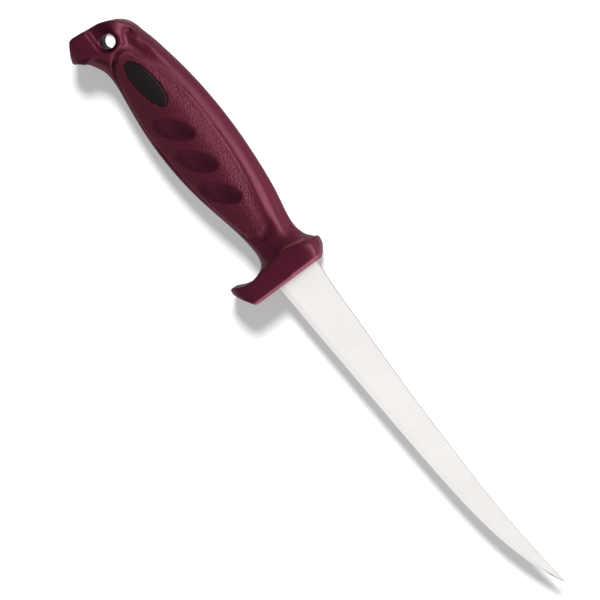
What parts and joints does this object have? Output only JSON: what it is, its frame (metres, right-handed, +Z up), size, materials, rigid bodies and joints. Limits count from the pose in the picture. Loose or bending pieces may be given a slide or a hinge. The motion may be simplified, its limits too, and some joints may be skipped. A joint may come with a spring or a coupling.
{
  "type": "fillet knife",
  "caption": "Fillet knife: thin upswept steel blade in a moulded handle with finger guard, textured side panels, finger dimples and a lanyard hole.",
  "frame": {"origin": "middle of the footprint of the knife lying on its left side, on the ground", "axes": "+X from the butt to the tip along the blade, +Y from the cutting edge to the spine, +Z up through the thickness"},
  "size_m": [0.2743, 0.0392, 0.021],
  "materials": {
    "blade_steel": "satin, ground across the blade",
    "handle_plastic": "moulded burgundy polypropylene, grained on the side panels",
    "badge_plastic": "plain black inlay"
  },
  "bodies": {
    "root": {"blade": "blade_steel", "handle": "handle_plastic", "badge_left": "badge_plastic", "badge_right": "badge_plastic"}
  },
  "joints": []
}
